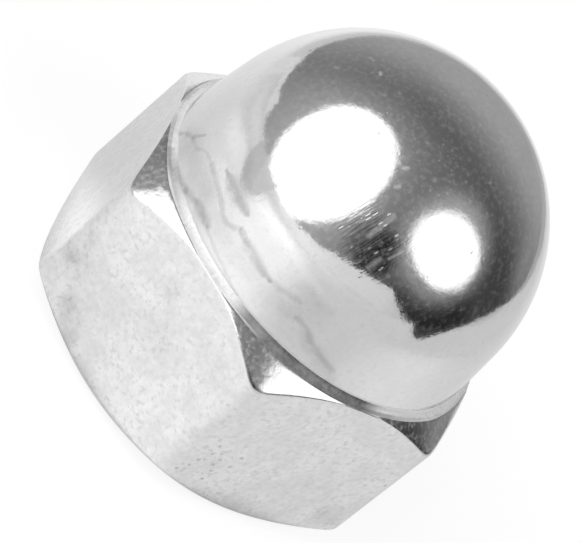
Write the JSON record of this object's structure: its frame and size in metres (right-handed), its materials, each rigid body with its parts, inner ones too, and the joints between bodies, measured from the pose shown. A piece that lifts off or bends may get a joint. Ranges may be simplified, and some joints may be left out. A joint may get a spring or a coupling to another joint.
{
  "type": "cap nut",
  "caption": "Hexagon cap nut with a closed, rounded dome and a blind metric thread, which covers and protects the end of a bolt or stud.",
  "frame": {"origin": "centre of the bearing face", "axes": "+Z along the thread axis, towards the dome; two corners of the hexagon on the X axis"},
  "size_m": [0.019, 0.0168, 0.018],
  "materials": {
    "plated_steel": "bright plated steel, polished on the dome and satin on the flats"
  },
  "bodies": {
    "root": {"cap_nut": "plated_steel"}
  },
  "joints": []
}
